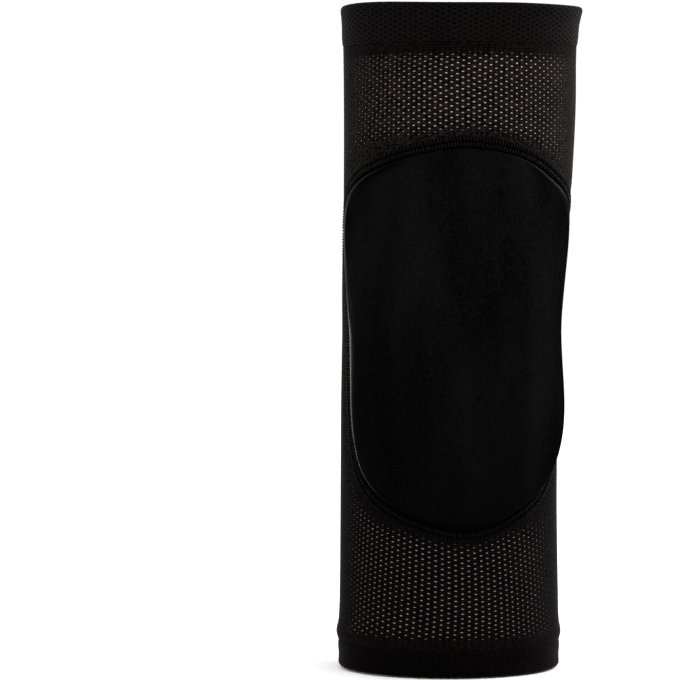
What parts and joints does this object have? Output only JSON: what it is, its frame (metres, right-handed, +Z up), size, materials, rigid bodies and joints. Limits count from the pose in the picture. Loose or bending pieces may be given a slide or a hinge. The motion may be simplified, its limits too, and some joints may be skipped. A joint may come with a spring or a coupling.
{
  "type": "padded elbow sleeve",
  "caption": "Pull-on elbow sleeve of perforated black mesh with folded hems and a raised foam pad sewn on over the elbow.",
  "frame": {"origin": "on the arm's axis behind the middle of the pad, in the middle of the tube's section there", "axes": "+Z up the arm towards the upper-arm opening, -Y out through the pad, +X to the wearer's side"},
  "size_m": [0.0978, 0.1014, 0.2605],
  "materials": {
    "mesh_knit": "matt perforated knit",
    "hem_knit": "matt doubled knit",
    "pad_cover": "smooth stretch knit",
    "seam_thread": "flat overlock thread"
  },
  "bodies": {
    "root": {"mesh_sleeve": "mesh_knit", "top_hem": "hem_knit", "bottom_hem": "hem_knit", "elbow_pad": "pad_cover", "pad_seam": "seam_thread"}
  },
  "joints": []
}
